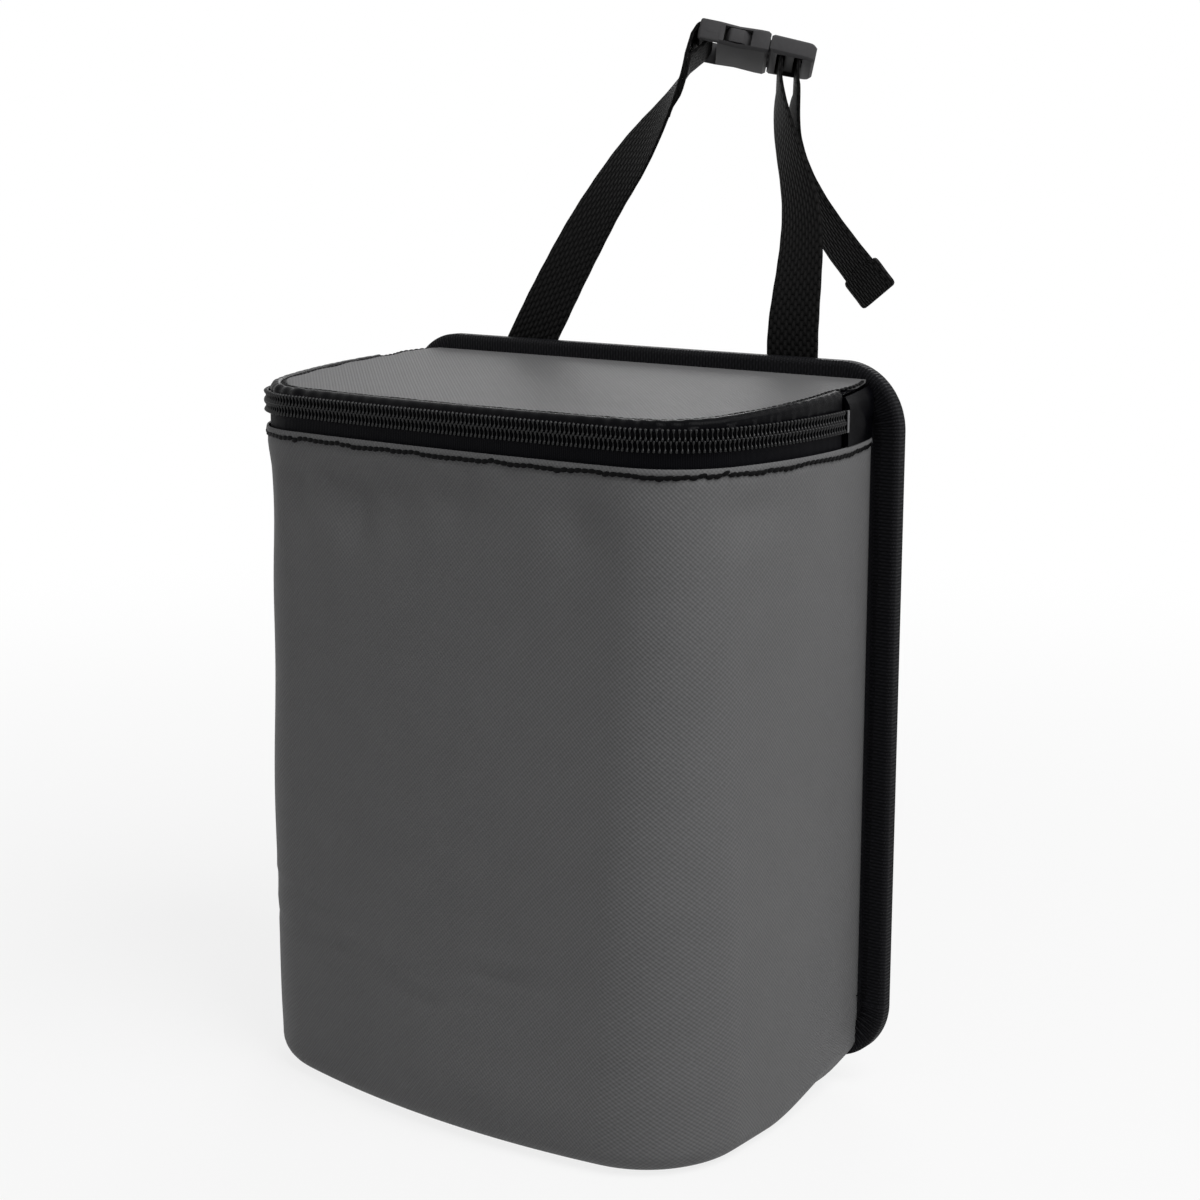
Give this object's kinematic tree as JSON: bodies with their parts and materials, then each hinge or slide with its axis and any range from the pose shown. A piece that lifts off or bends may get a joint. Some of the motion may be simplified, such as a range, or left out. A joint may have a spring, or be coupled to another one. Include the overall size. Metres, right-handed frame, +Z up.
{
  "type": "car trash bin",
  "caption": "Soft D-shaped car bin with a zipped cloth lid, a stiff bound back panel and webbing straps with a side-release buckle for a headrest.",
  "frame": {"origin": "on the ground, at the middle of the bag's bottom panel", "axes": "+Z up, +Y towards the seat that the back panel leans on, +X to the right of a person who faces the bag's front"},
  "size_m": [0.2675, 0.1965, 0.453],
  "materials": {
    "grey_cloth": "coated woven",
    "black_cloth": "woven",
    "binding": "ribbed",
    "webbing": "woven",
    "zip_tape": "woven",
    "coil": "satin",
    "satin": "satin",
    "board": "matte",
    "foam": "matte",
    "liner": "satin",
    "bright_metal": "polished",
    "slider_metal": "satin",
    "buckle": "satin"
  },
  "bodies": {
    "bag": {"back_lining": "black_cloth", "back_board": "board", "back_outer_panel": "black_cloth", "back_binding": "binding", "body_panel": "grey_cloth", "body_foam": "foam", "bottom_panel": "grey_cloth", "bottom_board": "board", "inner_liner": "liner", "zipper_tape_lower": "zip_tape", "zipper_chain_lower": "coil", "zipper_tab_right": "satin", "zipper_tab_left": "satin", "zipper_end_stop": "bright_metal", "strap_left": "webbing", "strap_right": "webbing", "buckle_female": "buckle"},
    "lid": {"lid_panel": "grey_cloth", "lid_foam": "foam", "lid_lining": "liner", "zipper_tape_upper": "zip_tape", "zipper_chain_upper": "coil"},
    "slider": {"zipper_slider": "slider_metal"},
    "pull": {"zipper_pull": "slider_metal"},
    "male_half": {"buckle_male": "buckle"}
  },
  "joints": [
    {"name": "lid_hinge", "type": "hinge", "parent": "bag", "child": "lid", "pos_m": [0, 0.07115, 0.3078], "axis": [-1, 0, 0], "range_deg": [0, 90]},
    {"name": "slider_run", "type": "hinge", "parent": "bag", "child": "slider", "pos_m": [0.04199, 0.01975, 0.2945], "axis": [0, 0, 1], "range_deg": [0, 18], "deforming": ["zipper_chain_upper"]},
    {"name": "pull_swing", "type": "hinge", "parent": "slider", "child": "pull", "pos_m": [-0.1319, 0.0322, 0.2945], "axis": [0, 0, -1], "range_deg": [0, 170]},
    {"name": "buckle_release", "type": "slide", "parent": "bag", "child": "male_half", "axis": [0.8313, 0.5195, -0.1977], "range_m": [0, 0.025], "deforming": ["buckle_male", "strap_right"]}
  ]
}
